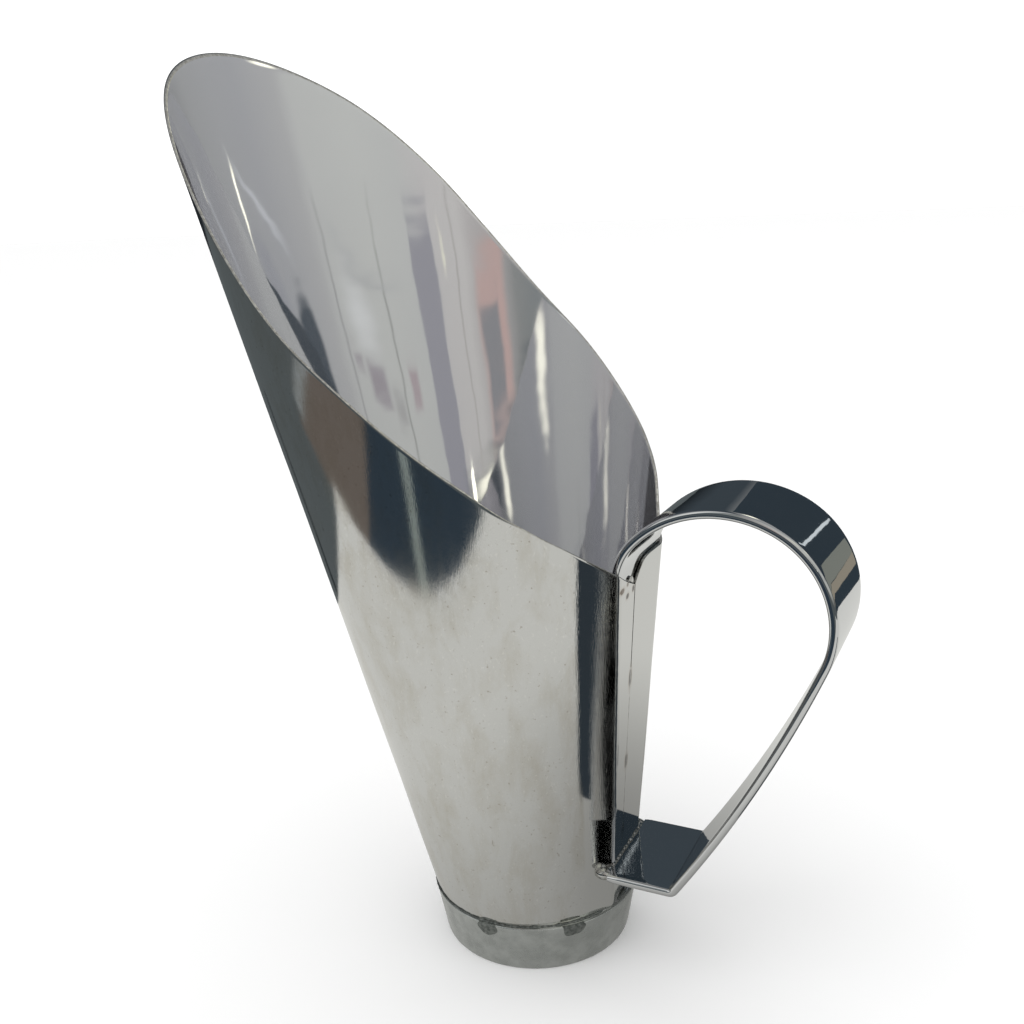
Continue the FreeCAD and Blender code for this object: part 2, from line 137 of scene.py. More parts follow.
def scuffedSheetMaterial():
    material, tree = newMaterial("stainlessSheetScuffed")
    place = addNode(tree, "ShaderNodeTexCoord")
    inMm = addNode(tree, "ShaderNodeVectorMath", {"operation": "SCALE"},
                   {0: place.outputs["Object"], "Scale": 1000.0})
    axes = addNode(tree, "ShaderNodeSeparateXYZ", inputs={"Vector": inMm.outputs[0]})
    # 0 on the polished strip behind the handle, 1 on the wiped sheet
    side = addNode(tree, "ShaderNodeMath", {"operation": "ABSOLUTE"}, {0: axes.outputs["Y"]})
    edge = addNode(tree, "ShaderNodeMath", {"operation": "MULTIPLY_ADD"},
                   {0: axes.outputs["Z"], 1: scuffedSheet["mirrorSpread"],
                    2: scuffedSheet["mirrorHalfWidth"]})
    beyond = addNode(tree, "ShaderNodeMath", {"operation": "SUBTRACT"},
                     {0: side.outputs[0], 1: edge.outputs[0]})
    front = addNode(tree, "ShaderNodeMath", {"operation": "LESS_THAN"},
                    {0: axes.outputs["X"], 1: 0.0})
    away = addNode(tree, "ShaderNodeMapRange",
                   inputs={"Value": beyond.outputs[0], "From Min": -0.4, "From Max": 0.6})
    satin = addNode(tree, "ShaderNodeMath", {"operation": "MAXIMUM"},
                    {0: away.outputs[0], 1: front.outputs[0]})

    upright = addNode(tree, "ShaderNodeVectorMath", {"operation": "MULTIPLY"},
                      {0: inMm.outputs[0], 1: (1.0, 1.0, 0.4)})
    smudges = addNode(tree, "ShaderNodeTexNoise", {"noise_dimensions": "3D"},
                      {"Vector": upright.outputs[0], "Scale": 1 / scuffedSheet["smudgeSize"],
                       "Detail": 6.0, "Roughness": 0.62, "Distortion": 0.25})
    longWays = addNode(tree, "ShaderNodeVectorMath", {"operation": "MULTIPLY"},
                       {0: inMm.outputs[0], 1: (1.0, 1.0, 0.02)})
    grain = addNode(tree, "ShaderNodeTexNoise", inputs={"Vector": longWays.outputs[0],
                    "Scale": 1 / scuffedSheet["grainPitch"], "Detail": 2.0})
    speck = addNode(tree, "ShaderNodeTexNoise",
                    inputs={"Vector": inMm.outputs[0], "Scale": 1 / scuffedSheet["speckSize"],
                            "Detail": 3.0})

    rough = addNode(tree, "ShaderNodeMapRange",
                    inputs={"Value": smudges.outputs["Fac"], "From Min": 0.35, "From Max": 0.7,
                            "To Min": scuffedSheet["satinRough"] * 0.8,
                            "To Max": scuffedSheet["satinRough"] * 1.5})
    finish = addNode(tree, "ShaderNodeMix", inputs={"Factor": satin.outputs[0],
                     "A": scuffedSheet["mirrorRough"], "B": rough.outputs[0]})
    patches = addNode(tree, "ShaderNodeMapRange",
                      inputs={"Value": smudges.outputs["Fac"], "From Min": 0.45, "From Max": 0.75})
    hazeAmount = addNode(tree, "ShaderNodeMath", {"operation": "MULTIPLY"},
                         {0: patches.outputs[0], 1: satin.outputs[0]})
    tint = addNode(tree, "ShaderNodeMix", {"data_type": "RGBA"},
                   {"Factor": hazeAmount.outputs[0], "A": hexColour(scuffedSheet["steel"]),
                    "B": hexColour(scuffedSheet["haze"])})
    spots = addNode(tree, "ShaderNodeMapRange",
                    inputs={"Value": speck.outputs["Fac"], "From Min": 0.66, "From Max": 0.74,
                            "To Max": scuffedSheet["stainAmount"]})
    spotAmount = addNode(tree, "ShaderNodeMath", {"operation": "MULTIPLY"},
                         {0: spots.outputs[0], 1: satin.outputs[0]})
    stained = addNode(tree, "ShaderNodeMix", {"data_type": "RGBA"},
                      {"Factor": spotAmount.outputs[0], "A": tint.outputs["Result"],
                       "B": hexColour(scuffedSheet["stain"])})
    relief = addNode(tree, "ShaderNodeMath", {"operation": "MULTIPLY_ADD"},
                     {0: smudges.outputs["Fac"], 1: 0.6, 2: grain.outputs["Fac"]})
    bump = addNode(tree, "ShaderNodeBump", inputs={"Height": relief.outputs[0], "Strength": 0.05,
                   "Distance": 0.0002})
    # fine bright scratches, which run three ways
    scored = []
    for lean, pitch in scuffedSheet["scratches"]:
        turned = addNode(tree, "ShaderNodeVectorRotate", {"rotation_type": "X_AXIS"},
                         {"Vector": inMm.outputs[0], "Angle": lean})
        drawn = addNode(tree, "ShaderNodeVectorMath", {"operation": "MULTIPLY"},
                        {0: turned.outputs[0], 1: (1 / pitch, 1 / pitch, 0.035 / pitch)})
        lines = addNode(tree, "ShaderNodeTexNoise",
                        inputs={"Vector": drawn.outputs[0], "Scale": 3.2, "Detail": 1.0})
        thin = addNode(tree, "ShaderNodeMapRange",
                       inputs={"Value": lines.outputs["Fac"], "From Min": 0.68, "From Max": 0.78})
        scored.append(thin.outputs[0])
    first = addNode(tree, "ShaderNodeMath", {"operation": "MAXIMUM"}, {0: scored[0], 1: scored[1]})
    every = addNode(tree, "ShaderNodeMath", {"operation": "MAXIMUM"},
                    {0: first.outputs[0], 1: scored[2]})
    wiped = addNode(tree, "ShaderNodeMath", {"operation": "MULTIPLY"},
                    {0: every.outputs[0], 1: satin.outputs[0]})
    faint = addNode(tree, "ShaderNodeMath", {"operation": "MULTIPLY"},
                    {0: wiped.outputs[0], 1: scuffedSheet["scratchAmount"]})
    scuffed = addNode(tree, "ShaderNodeMix", {"data_type": "RGBA"},
                      {"Factor": faint.outputs[0], "A": stained.outputs["Result"],
                       "B": hexColour(scuffedSheet["scratch"])})
    colour = scuffed.outputs["Result"]
    # each weld leaves a dark dimple with a straw-brown halo on the outside
    behind = addNode(tree, "ShaderNodeMath", {"operation": "GREATER_THAN"},
                     {0: axes.outputs["X"], 1: 25.0})
    edgeNoise = addNode(tree, "ShaderNodeTexNoise",
                        inputs={"Vector": inMm.outputs[0], "Detail": 2.0,
                                "Scale": 1 / scuffedSheet["weldEdgeSize"]})
    for across, level, halfWidth, halfHeight, core in weldMarks:
        offset = addNode(tree, "ShaderNodeVectorMath", {"operation": "SUBTRACT"},
                         {0: inMm.outputs[0], 1: (0, across, level)})
        shaped = addNode(tree, "ShaderNodeVectorMath", {"operation": "MULTIPLY"},
                         {0: offset.outputs[0], 1: (0, 1 / halfWidth, 1 / halfHeight)})
        far = addNode(tree, "ShaderNodeVectorMath", {"operation": "LENGTH"}, {0: shaped.outputs[0]})
        ragged = addNode(tree, "ShaderNodeMath", {"operation": "MULTIPLY_ADD"},
                         {0: edgeNoise.outputs["Fac"], 1: 0.5, 2: far.outputs["Value"]})
        halo = addNode(tree, "ShaderNodeMapRange",
                       inputs={"Value": ragged.outputs[0], "From Min": 2.1, "From Max": 1.1,
                               "To Max": 0.35})
        dot = addNode(tree, "ShaderNodeMapRange",
                      inputs={"Value": ragged.outputs[0], "From Min": 1.35, "From Max": 1.0,
                              "To Max": 0.92})
        for mask, paint in ((halo, scuffedSheet["straw"]), (dot, core)):
            shown = addNode(tree, "ShaderNodeMath", {"operation": "MULTIPLY"},
                            {0: mask.outputs[0], 1: behind.outputs[0]})
            mixed = addNode(tree, "ShaderNodeMix", {"data_type": "RGBA"},
                            {"Factor": shown.outputs[0], "A": colour, "B": hexColour(paint)})
            colour = mixed.outputs["Result"]
    steel = addNode(tree, "ShaderNodeBsdfPrincipled", inputs={
        "Base Color": colour, "Metallic": 1.0, "Roughness": finish.outputs["Result"],
        "Normal": bump.outputs["Normal"]})
    addNode(tree, "ShaderNodeOutputMaterial", inputs={"Surface": steel.outputs[0]})
    return material


# The same sheet inside, and the strap: bright annealed and buffed, nearly a clean mirror. Inside,
# a thin dry film of water marks takes a few percent of the mirror away.
brightSteel = {
    "sheet": {"steel": "#dadadd", "rough": 0.035, "metallic": 0.94},
    "strap": {"steel": "#d6d7d8", "rough": 0.03, "metallic": 1.0},
    "dust": 0.10,
    "dustSize": 0.625,  # mm
    "filmSize": 16.67,  # mm
    "waveSize": 26.0,   # mm between the dents that rolling and handling leave
}


def brightSteelMaterial(name, finishOf):
    material, tree = newMaterial(name)
    place = addNode(tree, "ShaderNodeTexCoord")
    inMm = addNode(tree, "ShaderNodeVectorMath", {"operation": "SCALE"},
                   {0: place.outputs["Object"], "Scale": 1000.0})
    waves = addNode(tree, "ShaderNodeTexNoise",
                    inputs={"Vector": inMm.outputs[0], "Scale": 1 / brightSteel["waveSize"],
                            "Detail": 2.0})
    film = addNode(tree, "ShaderNodeTexNoise",
                   inputs={"Vector": inMm.outputs[0], "Scale": 1 / brightSteel["filmSize"],
                           "Detail": 5.0, "Roughness": 0.6})
    dust = addNode(tree, "ShaderNodeTexNoise",
                   inputs={"Vector": inMm.outputs[0], "Scale": 1 / brightSteel["dustSize"],
                           "Detail": 1.0})
    dustRough = addNode(tree, "ShaderNodeMapRange",
                        inputs={"Value": dust.outputs["Fac"], "From Min": 0.72, "From Max": 0.8,
                                "To Max": brightSteel["dust"]})
    filmRough = addNode(tree, "ShaderNodeMapRange",
                        inputs={"Value": film.outputs["Fac"], "From Min": 0.3, "From Max": 0.75,
                                "To Min": finishOf["rough"], "To Max": finishOf["rough"] * 2.2})
    finish = addNode(tree, "ShaderNodeMath", {"operation": "ADD"},
                     {0: dustRough.outputs[0], 1: filmRough.outputs[0]})
    bump = addNode(tree, "ShaderNodeBump", inputs={"Height": waves.outputs["Fac"], "Strength": 0.25,
                   "Distance": 0.0006})
    steel = addNode(tree, "ShaderNodeBsdfPrincipled", inputs={
        "Base Color": hexColour(finishOf["steel"]), "Metallic": finishOf["metallic"],
        "Roughness": finish.outputs[0], "Normal": bump.outputs["Normal"]})
    addNode(tree, "ShaderNodeOutputMaterial", inputs={"Surface": steel.outputs[0]})
    return material


# Filed edges, weld beads, soft solder and the foot's brushed band: duller metals, whose lumps
# or brush marks break up what they mirror. Lump sizes are in millimetres.
def roughMetalMaterial(name, light, dark, rough, lumpSize, lumpHeight):
    material, tree = newMaterial(name)
    place = addNode(tree, "ShaderNodeTexCoord")
    inMm = addNode(tree, "ShaderNodeVectorMath", {"operation": "SCALE"},
                   {0: place.outputs["Object"], "Scale": 1000.0})
    lumps = addNode(tree, "ShaderNodeTexNoise",
                    inputs={"Vector": inMm.outputs[0], "Scale": 1 / lumpSize, "Detail": 4.0,
                            "Roughness": 0.6})
    tint = addNode(tree, "ShaderNodeValToRGB", inputs={"Fac": lumps.outputs["Fac"]},
                   stops=[(0.38, hexColour(dark)), (0.62, hexColour(light))])
    finish = addNode(tree, "ShaderNodeMapRange",
                     inputs={"Value": lumps.outputs["Fac"], "From Min": 0.3, "From Max": 0.7,
                             "To Min": rough * 1.3, "To Max": rough * 0.8})
    bump = addNode(tree, "ShaderNodeBump", inputs={"Height": lumps.outputs["Fac"], "Strength": 0.6,
                   "Distance": lumpHeight * mm})
    steel = addNode(tree, "ShaderNodeBsdfPrincipled", inputs={
        "Base Color": tint.outputs["Color"], "Metallic": 1.0, "Roughness": finish.outputs[0],
        "Normal": bump.outputs["Normal"]})
    addNode(tree, "ShaderNodeOutputMaterial", inputs={"Surface": steel.outputs[0]})
    return material


sheetOutside = scuffedSheetMaterial()
sheetInside = brightSteelMaterial("stainlessSheetBright", brightSteel["sheet"])
strapSteel = brightSteelMaterial("stainlessStrapBuffed", brightSteel["strap"])
cutEdge = roughMetalMaterial("stainlessEdgeFiled", "#e4e2dc", "#b5b2ab", 0.22, 1.2, 0.03)
weldMetal = roughMetalMaterial("stainlessWeldBead", "#cfcfcc", "#9a9894", 0.16, 2.2, 0.02)
solderMetal = roughMetalMaterial("softSolderDull", "#8f9390", "#666a68", 0.40, 1.4, 0.06)
footSteel = roughMetalMaterial("stainlessBandSatin", "#c6c9c7", "#b3b6b4", 0.24, 7.0, 0.006)
print("materials made")


# One sheet rolled into a leaning cone, flattened towards the handle. The section changes evenly
# from the low size at the foot to the high one at the top level, and the rim cuts it off.
bodySheet = {
    "thick": 0.9,
    "footLevel": 17.8,
    "topLevel": 320.0,
    "low": {"shift": -0.9, "radius": 35.7, "reach": 35.3, "flat": 20.0, "corner": 4.0},
    "high": {"shift": -29.7, "radius": 88.9, "reach": 83.95, "flat": 62.4, "corner": 7.5},
    "rimTurn": -8.4,
    "edgeRound": 0.42,
    "slitHalf": 0.3,
    "rows": 150,
    "columns": (44, 12, 26, 190),  # steps along the flat, the corner, the side and the round back
    "calmLevel": 24.0,  # mm: below it the solder holds the sheet true
}

# the rim from the side: distance towards the handle, and level
rimSide = [(-135, 328), (-115, 309.3), (-96, 291.5), (-75, 268.6), (-53, 242.6), (-34, 222.4),
           (-10, 201.6), (22, 172.3), (80, 118.8)]
# the rim from the handle's end: distance from the seam, and level
rimNear = [(0, 135.3), (10.8, 140.3), (20.9, 146.8), (31.4, 154.2), (42, 162.8), (52.8, 175),
           (57, 190), (64, 225), (80, 320)]
rimFar = [(0, 135.3), (4, 138.9), (8, 141.4), (13, 142.1), (20, 142.1), (26, 142.5), (30, 146),
          (34, 153.5), (38, 161), (43, 168), (48.2, 176.5), (53, 192), (60, 225), (76, 320)]


def sectionPoint(level, part, t, inset):
    # a point on the wall: part counts round the section from the flat, t runs along that part
    s = (level - bodySheet["footLevel"]) / (bodySheet["topLevel"] - bodySheet["footLevel"])
    ends = []
    for size in (bodySheet["low"], bodySheet["high"]):
        big, far, small = size["radius"] - inset, size["reach"] - inset, size["corner"] - inset
        half = size["flat"] / 2
        swing = math.hypot(far - small, half)
        turn = math.atan2(half, far - small) + math.acos((big - small) / swing)
        out = Vector((math.cos(turn), math.sin(turn)))
        knee = Vector((far - small, half))
        if part == 0:
            spot = Vector((far, half * t))
        elif part == 1:
            spot = knee + small * Vector((math.cos(turn * t), math.sin(turn * t)))
        elif part == 2:
            spot = (knee + small * out).lerp(big * out, t)
        else:
            around = turn + (math.pi - turn) * t
            spot = big * Vector((math.cos(around), math.sin(around)))
        ends.append((spot.x + size["shift"], spot.y))
    return Vector((ends[0][0] + (ends[1][0] - ends[0][0]) * s,
                   ends[0][1] + (ends[1][1] - ends[0][1]) * s, level))


def rimFrame(point):
    turn = math.radians(bodySheet["rimTurn"])
    return (point.x * math.cos(turn) + point.y * math.sin(turn),
            -point.x * math.sin(turn) + point.y * math.cos(turn))


def rimLevel(point):
    along, across = rimFrame(point)
    side = throughPoints(rimSide, along)
    if along < 4:
        return side
    end = throughPoints(rimNear, -across) if across < 0 else throughPoints(rimFar, across)
    soft = 2.0  # mm: where the two cuts meet, the file rounds them off
    return -soft * math.log(math.exp(-(side - 100) / soft) + math.exp(-(end - 100) / soft)) + 100


def columnPoint(column, level, inset):
    part, t, mirrored = column
    if part == 0:  # on the flat the columns keep clear of the seam
        turn = math.radians(bodySheet["rimTurn"])
        edge = sectionPoint(level, 0, 1.0, inset)
        seam = edge.x * math.tan(turn)
        gap = bodySheet["slitHalf"] / math.cos(turn)
        if mirrored:
            return Vector((edge.x, seam - gap + (-edge.y - seam + gap) * t, level))
        return Vector((edge.x, seam + gap + (edge.y - seam - gap) * t, level))
    point = sectionPoint(level, part, t, inset)
    return Vector((point.x, -point.y, level)) if mirrored else point


def wallRipple(point):
    # hand rolling leaves the sheet very slightly uneven
    return (noise.noise(point / 38) * 0.16 + noise.noise(point / 15 + Vector((7, 3, 1))) * 0.035)


def rimSolve(column, inset):
    low, high = 60.0, 330.0
    for step in range(40):
        middle = (low + high) / 2
        if middle < rimLevel(columnPoint(column, middle, inset)):
            low = middle
        else:
            high = middle
    return low


def buildBody():
    half = [(part, i / steps, False) for part, steps in enumerate(bodySheet["columns"])
            for i in range(steps)]
    columns = half + [(3, 1.0, False)] + [(part, t, True) for part, t, mirrored in reversed(half)]
    rows, rounds = bodySheet["rows"], 6
    thick, foot = bodySheet["thick"], bodySheet["footLevel"]
    points, faces, slots = [], [], []
    ring = 2 * (rows + 1) + rounds - 1
    for column in columns:
        sides = []
        for inset in (0.0, thick):
            top = rimSolve(column, inset)
            end = columnPoint(column, top, inset)
            down = (columnPoint(column, top - 1, inset) - end).normalized()
            start = end + down * bodySheet["edgeRound"]
            levels = [foot + (start.z - foot) * (i / rows) for i in range(rows + 1)]
            sides.append(([columnPoint(column, level, inset) for level in levels], down))
        (outer, outDown), (inner, inDown) = sides
        across = (outer[rows] - inner[rows]) / 2
        middle = (outer[rows] + inner[rows]) / 2
        rise = -(outDown + inDown) / 2 * bodySheet["edgeRound"]
        crown = [middle + across * math.cos(math.pi * k / rounds)
                 + rise * math.sin(math.pi * k / rounds) for k in range(1, rounds)]
        push = Vector((middle.x - bodySheet["low"]["shift"], middle.y, 0)).normalized()
        loop = outer + crown + inner[::-1]
        for point in loop:
            calm = min(1, max(0, (point.z - bodySheet["calmLevel"]) / 40))
            points.append(point if column[0] == 0 else point + push * wallRipple(point) * calm)
    for c in range(len(columns) - 1):
        for k in range(ring - 1):
            a = c * ring + k
            faces.append((a, a + ring, a + ring + 1, a + 1))
            slots.append(0 if k < rows else 2 if k < rows + rounds else 1)  # outside, edge, inside
        a = c * ring
        faces.append((a + ring - 1, a + 2 * ring - 1, a + ring, a))
        slots.append(2)
    for base, flip in ((0, False), ((len(columns) - 1) * ring, True)):
        for k in range((ring - 1) // 2):
            face = (base + k, base + k + 1, base + ring - 2 - k, base + ring - 1 - k)
            faces.append(face[::-1] if flip else face)
            slots.append(2)
    return makeObject("pitcherBody", points, faces, [sheetOutside, sheetInside, cutEdge], slots,
                      smooth=50)


body = buildBody()
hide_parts("body_shell")
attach(body, "root")
print("body made")


# One flat bar, bent: a shelf above the foot, then the loop, and a tail that ends in the mouth.
handleBar = {
    "width": 40.0, "thick": 2.8, "edge": 1.1,
    "start": (35.75, 34.0), "shelf": 21.1,
    # radius in mm and sweep in degrees: fold, leg, side, crown, lip
    "bends": [(2.5, 56.0), (477.0, 11.5), (32.0, 87.5), (37.1, 71.6), (20.8, 39.5)],
    "tail": 13.5,
    "endEase": 0.18,  # the sheared ends are filed back a little
}


def barMiddleLine():
    # points and headings along the bar's middle, seen from the side
    x, z = handleBar["start"]
    heading = 0.0
    line = [(x + handleBar["shelf"] * i / 10, z, 0.0) for i in range(11)]
    x += handleBar["shelf"]
    for radius, sweep in handleBar["bends"]:
        steps = max(8, int(radius * math.radians(sweep) / 0.8), int(sweep / 2.5))
        centre = (x - radius * math.sin(heading), z + radius * math.cos(heading))
        for i in range(1, steps + 1):
            now = heading + math.radians(sweep) * i / steps
            line.append((centre[0] + radius * math.sin(now),
                         centre[1] - radius * math.cos(now), now))
        heading = now
        x, z = line[-1][:2]
    for i in range(1, 9):
        far = handleBar["tail"] * i / 8
        line.append((x + far * math.cos(heading), z + far * math.sin(heading), heading))
    return line


def barOutline():
    # the bar's cross-section: (across, through), with eased edges
    outline = []
    halfWidth, halfThick, edge = handleBar["width"] / 2, handleBar["thick"] / 2, handleBar["edge"]
    for corner, (sx, sy) in enumerate(((1, 1), (-1, 1), (-1, -1), (1, -1))):
        for i in range(7):
            turn = math.pi / 2 * (corner + i / 6)
            outline.append((sx * (halfWidth - edge) + edge * math.cos(turn),
                            sy * (halfThick - edge) + edge * math.sin(turn)))
        if corner % 2 == 0:  # extra points along the broad faces
            for i in range(1, 16):
                outline.append((sx * (halfWidth - edge) * (1 - i / 8), sy * halfThick))
    return outline


def buildHandle():
    line, outline = barMiddleLine(), barOutline()
    points, faces = [], []
    for index, (x, z, heading) in enumerate(line):
        ends = min(index, len(line) - 1 - index)
        tighten = handleBar["endEase"] if ends == 0 else 0.0
        normal = (-math.sin(heading), math.cos(heading))
        for across, through in outline:
            across -= math.copysign(tighten, across)
            through -= math.copysign(tighten, through)
            points.append((x + normal[0] * through, across, z + normal[1] * through))
    count = len(outline)
    for i in range(len(line) - 1):
        for k in range(count):
            a, b = i * count + k, i * count + (k + 1) % count
            faces.append((a, b, b + count, a + count))
    faces.append(tuple(range(count)))
    faces.append(tuple(range(len(points) - count, len(points)))[::-1])
    return makeObject("handleBar", points, faces, [strapSteel], smooth=35)


handle = buildHandle()
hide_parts("handle_strap")
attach(handle, "root")
print("handle made")


# The low conical band that the body stands on; sizes in mm, radii outside.
footBand = {"height": 17.8, "bottom": 33.6, "top": 36.8, "wall": 1.2, "edge": 0.4, "steps": 200}


def buildFoot():
    slope = (footBand["top"] - footBand["bottom"]) / footBand["height"]
    height, wall, edge = footBand["height"], footBand["wall"], footBand["edge"]
    profile = []
    for k in range(5):
        turn = math.pi / 2 * k / 4
        profile.append((footBand["bottom"] - edge + edge * math.sin(turn),
                        edge - edge * math.cos(turn)))
    profile += [(footBand["bottom"] + slope * height * i / 12, height * i / 12)
                for i in range(1, 12)]
    for k in range(5):
        turn = math.pi / 2 * k / 4
        profile.append((footBand["top"] - edge + edge * math.cos(turn),
                        height - edge + edge * math.sin(turn)))
    profile += [(footBand["top"] - wall, height)]
    profile += [(footBand["bottom"] - wall + slope * height * i / 12, height * i / 12)
                for i in range(11, 0, -1)]
    profile += [(footBand["bottom"] - wall, 0)]
    points, faces, count = [], [], len(profile)
    for i in range(footBand["steps"]):
        turn = 2 * math.pi * i / footBand["steps"]
        points += [(r * math.cos(turn), r * math.sin(turn), z) for r, z in profile]
    for i in range(footBand["steps"]):
        j = (i + 1) % footBand["steps"]
        for k in range(count):
            n = (k + 1) % count
            faces.append((i * count + k, j * count + k, j * count + n, i * count + n))
    return makeObject("footBand", points, faces, [footSteel], smooth=40)


foot = buildFoot()
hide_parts("foot_ring")
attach(foot, "root")


def wallAt(level, across):
    # how far towards the handle the wall's outside is, at this level and distance across
    trace = [sectionPoint(level, part, i / 20, 0.0) for part in range(4) for i in range(21)]
    for a, b in zip(trace, trace[1:]):
        if a.y <= abs(across) <= b.y and b.y > a.y:
            return a.x + (b.x - a.x) * (abs(across) - a.y) / (b.y - a.y)
    return trace[0].x


def closedTube(rings, closedPath=False):
    # skin a list of equal rings of points
    points = [p for ring in rings for p in ring]
    count, faces = len(rings[0]), []
    last = len(rings) if closedPath else len(rings) - 1
    for i in range(last):
        j = (i + 1) % len(rings)
        for k in range(count):
            n = (k + 1) % count
            faces.append((i * count + k, i * count + n, j * count + n, j * count + k))
    if not closedPath:
        faces.append(tuple(range(count))[::-1])
        faces.append(tuple(range(len(points) - count, len(points))))
    return points, faces


# The weld bead that fills the gap between the shelf's square end and the round wall.
shelfBead = {
    "half": 19.2, "level": 34.0, "halfHeight": 1.75,
    "ripple": 0.2, "pitch": 2.1,  # mm: height and spacing of the welder's steps
    "endRound": 1.6, "overlap": 0.5, "rings": 160, "sides": 18,
}


def buildShelfBead():
    rings, steps, sides = [], shelfBead["rings"], shelfBead["sides"]
    for i in range(steps + 1):
        across = shelfBead["half"] * (2 * i / steps - 1)
        near = wallAt(shelfBead["level"], across) - 0.35
        far = handleBar["start"][0] + 0.15
        inward = min(1, shelfBead["half"] * (1 - abs(2 * i / steps - 1)) / shelfBead["endRound"])
        taper = max(0.05, math.sqrt(1 - (1 - inward) ** 2))
        wave = 0.5 + 0.5 * math.cos(2 * math.pi * across / shelfBead["pitch"])
        wobble = noise.noise(Vector((across / 2.6, 4, 1)))
        tall = (shelfBead["halfHeight"] + shelfBead["ripple"] * (wave * 0.6 + wobble)) * taper
        reach = ((far - near) / 2 + shelfBead["overlap"] + 0.3 * wobble) * taper
        rings.append([((near + far) / 2 + reach * math.cos(turn), across,
                       shelfBead["level"] + tall * math.sin(turn))
                      for turn in (2 * math.pi * k / sides for k in range(sides))])
    points, faces = closedTube(rings)
    return makeObject("shelfBead", points, faces, [weldMetal], smooth=60)


# Solder between the body and the foot band, all the way round, with two dabs on the outside.
footSolder = {
    "bead": 0.42, "ragged": 0.34, "level": 17.85, "steps": 420,
    # each dab: degrees round from the handle, level, half width and half height in mm
    "dabs": [(-93, 15.6, 3.9, 3.3), (-45.5, 16.2, 4.3, 3.2)],
    "dabSwell": 0.46, "dabLumps": 0.09, "dabRings": 9, "dabSpokes": 40,
}


def solderRun():
    # the thin uneven line of solder on the ledge round the wall
    rings, steps = [], footSolder["steps"]
    for i in range(steps):
        turn = 2 * math.pi * i / steps
        out = Vector((math.cos(turn), math.sin(turn), 0))
        seat = bodySheet["low"]["radius"] + bodySheet["low"]["shift"] * math.cos(turn)
        ragged = noise.noise(out * 9) * 0.6 + noise.noise(out * 31) * 0.5
        size = max(0.16, footSolder["bead"] + footSolder["ragged"] * ragged)
        middle = out * (seat + 0.12) + Vector((0, 0, footSolder["level"] + 0.15 * ragged))
        rings.append([middle + out * size * math.cos(t) + Vector((0, 0, size * 0.9 * math.sin(t)))
                      for t in (2 * math.pi * k / 8 for k in range(8))])
    return closedTube(rings, closedPath=True)


def dabPoint(dab, share, turn, inside):
    # a point of a dab: share counts from its middle to its edge
    around, level, halfWidth, halfHeight = dab
    lobes = Vector((math.cos(turn) * 1.1 + around, math.sin(turn) * 1.1, 2))
    spread = (1 + 0.34 * noise.noise(lobes)) * share
    sideways = halfWidth * spread * math.cos(turn)
    upright = min(level + halfHeight * spread * math.sin(turn), footBand["height"] + 0.1)
    if inside:
        stand = -0.5
    elif share == 1:
        stand = -0.12
    else:
        stand = (footSolder["dabSwell"] * (1 - share ** 2.4)
                 + footSolder["dabLumps"] * noise.noise(Vector((sideways, upright, around))))
    slope = (footBand["top"] - footBand["bottom"]) / footBand["height"]
    radius = footBand["bottom"] + slope * min(upright, footBand["height"]) + stand
    a = math.radians(around) + sideways / 35
    return (radius * math.cos(a), radius * math.sin(a), upright)


def buildFootSolder():
    points, faces = solderRun()
    ringCount, spokes = footSolder["dabRings"], footSolder["dabSpokes"]
    half = ringCount * spokes
    for dab in footSolder["dabs"]:
        base = len(points)
        points += [dabPoint(dab, r / ringCount, 2 * math.pi * k / spokes, inside)
                   for inside in (False, True) for r in range(1, ringCount + 1)
                   for k in range(spokes)]
        for part in (0, 1):
            start = base + part * half
            for r in range(ringCount - 1):
                for k in range(spokes):
                    n = (k + 1) % spokes
                    face = (start + r * spokes + k, start + (r + 1) * spokes + k,
                            start + (r + 1) * spokes + n, start + r * spokes + n)
                    faces.append(face[::-1] if part else face)
            cap = tuple(start + k for k in range(spokes))
            faces.append(cap[::-1] if part else cap)
        rim = base + (ringCount - 1) * spokes
        for k in range(spokes):
            n = (k + 1) % spokes
            faces.append((rim + n, rim + k, rim + half + k, rim + half + n))
    return makeObject("footSolderRun", points, faces, [solderMetal], smooth=60)


for piece, node, kind in ((buildShelfBead(), "shelf_weld", "weld_steel"),
                          (buildFootSolder(), "foot_solder", "solder")):
    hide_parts(node)
    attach(piece, "root")

for name, material in (("base_disc", sheetInside), ("seam_weld", weldMetal),
                       ("strap_spot_welds", weldMetal), ("base_solder", solderMetal)):
    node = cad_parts[name]
    node.data.materials.clear()
    node.data.materials.append(material)
print("foot and joints made")


# A plain pale paper floor; sizes in mm.
floorPaper = {"half": 20000, "level": -0.15, "grey": 0.82, "rough": 0.9}


def buildFloor():
    material, tree = newMaterial("floorPaperMatt")
    grey = floorPaper["grey"]
    paper = addNode(tree, "ShaderNodeBsdfPrincipled",
                    inputs={"Base Color": (grey, grey, grey, 1), "Roughness": floorPaper["rough"]})
    addNode(tree, "ShaderNodeOutputMaterial", inputs={"Surface": paper.outputs[0]})
    half, level = floorPaper["half"], floorPaper["level"]
    corners = [(-half, -half, level), (half, -half, level), (half, half, level),
               (-half, half, level)]
    return makeObject("floor", corners, [(0, 1, 2, 3)], [material])


def glowMaterial(name, colour):
    material, tree = newMaterial(name)
    glow = addNode(tree, "ShaderNodeEmission", inputs={"Color": hexColour(colour), "Strength": 1.0})
    addNode(tree, "ShaderNodeOutputMaterial", inputs={"Surface": glow.outputs[0]})
    return material


floor = buildFloor()
floor.visible_glossy = False

